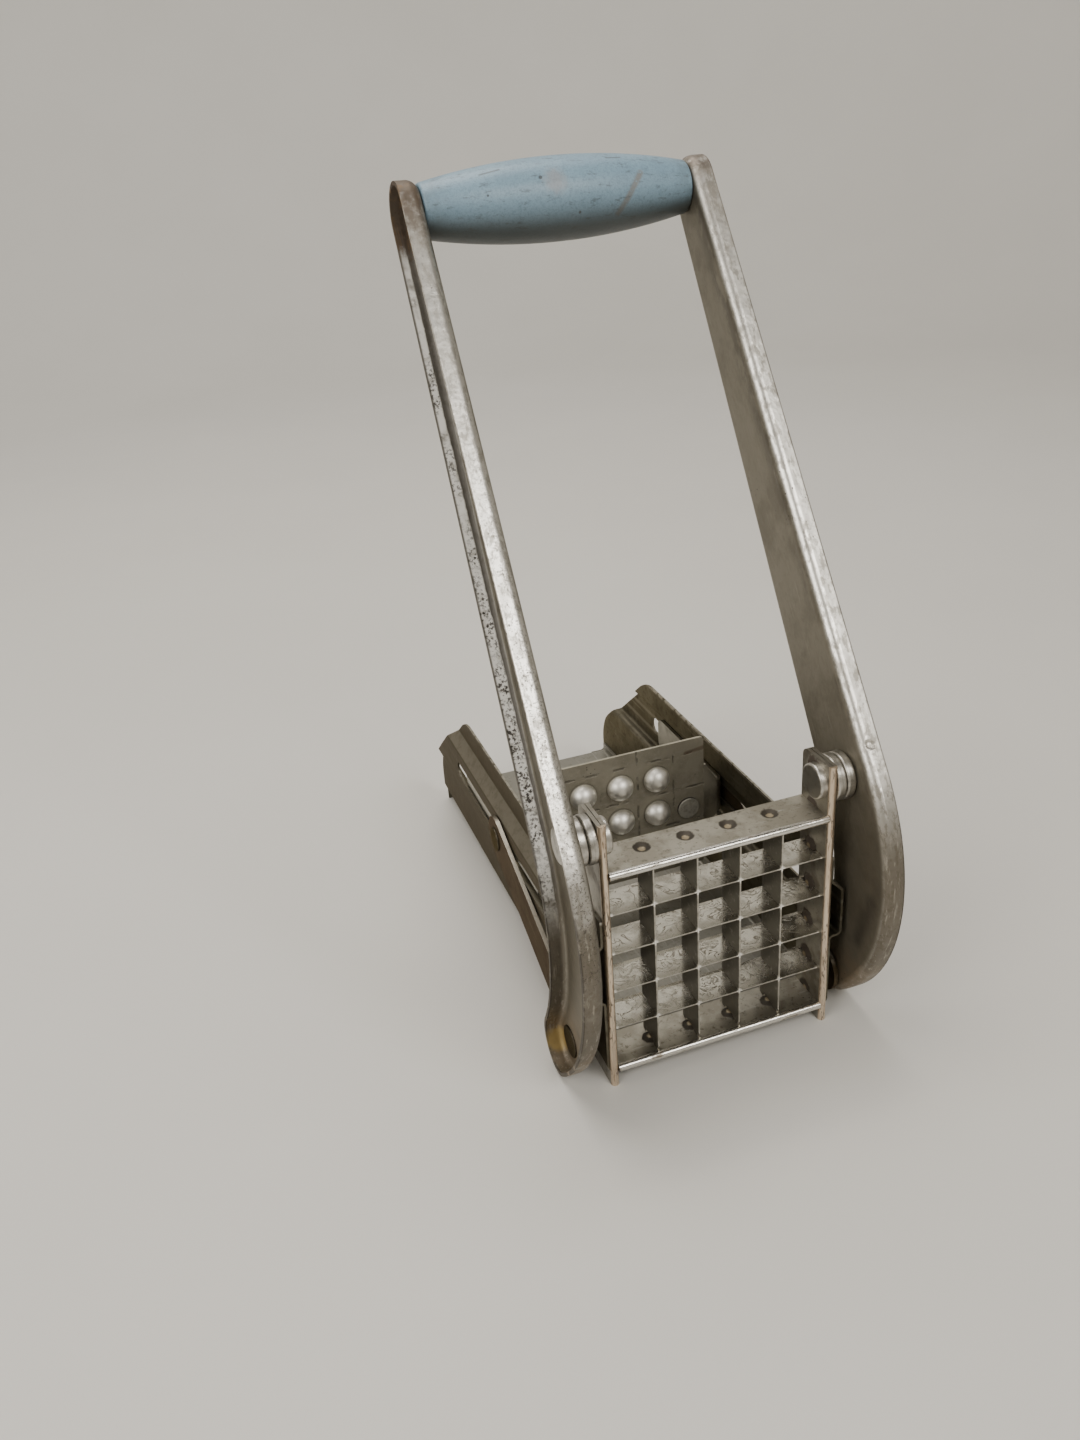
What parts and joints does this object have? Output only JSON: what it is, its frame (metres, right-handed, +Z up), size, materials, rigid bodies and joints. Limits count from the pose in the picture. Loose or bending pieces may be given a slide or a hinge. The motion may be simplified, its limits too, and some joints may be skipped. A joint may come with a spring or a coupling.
{
  "type": "lever potato chipper",
  "caption": "Lever potato chipper: a studded pusher slides along a sheet-metal trough and forces a potato through a square knife grid, worked by two pressed arms with a wooden barrel grip.",
  "frame": {"origin": "on the table under the middle of the bounding box, lever in the pose of the picture", "axes": "+X to the right of someone facing the knives from the front, +Y from the knives to the back of the trough, +Z up"},
  "size_m": [0.1032, 0.2092, 0.2586],
  "materials": {
    "tinned_steel": "worn satin, pitted",
    "trough_steel": "dull, stained",
    "pusher_steel": "dull with polished domes",
    "knife_steel": "scratched bright",
    "bright_steel": "worn bright",
    "painted_wood": "satin paint, scuffed"
  },
  "bodies": {
    "frame": {"vertical_blade_1": "knife_steel", "vertical_blade_2": "knife_steel", "vertical_blade_3": "knife_steel", "vertical_blade_4": "knife_steel", "horizontal_blade_1": "knife_steel", "horizontal_blade_2": "knife_steel", "horizontal_blade_3": "knife_steel", "horizontal_blade_4": "knife_steel", "top_plate": "trough_steel", "bottom_plate": "trough_steel", "floor_plate": "trough_steel", "side_plate_left": "trough_steel", "side_plate_right": "trough_steel", "side_wall_left": "trough_steel", "side_wall_right": "trough_steel", "pivot_rivet_left": "bright_steel", "pivot_rivet_right": "bright_steel", "inner_washer_left": "bright_steel", "inner_washer_right": "bright_steel", "outer_washer_left": "bright_steel", "outer_washer_right": "bright_steel"},
    "lever": {"lever_arm_left": "tinned_steel", "lever_arm_right": "tinned_steel", "grip": "painted_wood", "tie_rod": "bright_steel", "link_rivet_left": "bright_steel", "link_rivet_right": "bright_steel"},
    "pusher": {"pusher_plate": "pusher_steel", "pusher_carriage": "pusher_steel", "pusher_rivet_left": "bright_steel", "pusher_rivet_right": "bright_steel", "slide_pin_left": "bright_steel", "slide_pin_right": "bright_steel"},
    "link_left": {"link_left": "tinned_steel"},
    "link_right": {"link_right": "tinned_steel"}
  },
  "joints": [
    {"name": "lever_hinge", "type": "hinge", "parent": "frame", "child": "lever", "pos_m": [0, -0.0805, 0.0876], "axis": [-1, 0, 0], "range_deg": [-36, 58]},
    {"name": "pusher_slide", "type": "slide", "parent": "frame", "child": "pusher", "axis": [0, 1, 0], "range_m": [-0.063, 0.0392]},
    {"name": "link_left_hinge", "type": "hinge", "parent": "pusher", "child": "link_left", "pos_m": [-0.0438, 0.0002, 0.0415], "axis": [-1, 0, 0], "range_deg": [-1.8, 2.9]},
    {"name": "link_right_hinge", "type": "hinge", "parent": "pusher", "child": "link_right", "pos_m": [0.0438, 0.0002, 0.0415], "axis": [-1, 0, 0], "range_deg": [-1.8, 2.9]}
  ],
  "couplings": [
    {"joint": "pusher_slide", "follows": "lever_hinge", "m_per_rad": -0.062},
    {"joint": "link_left_hinge", "follows": "lever_hinge", "ratio": 0.05},
    {"joint": "link_right_hinge", "follows": "lever_hinge", "ratio": 0.05}
  ]
}
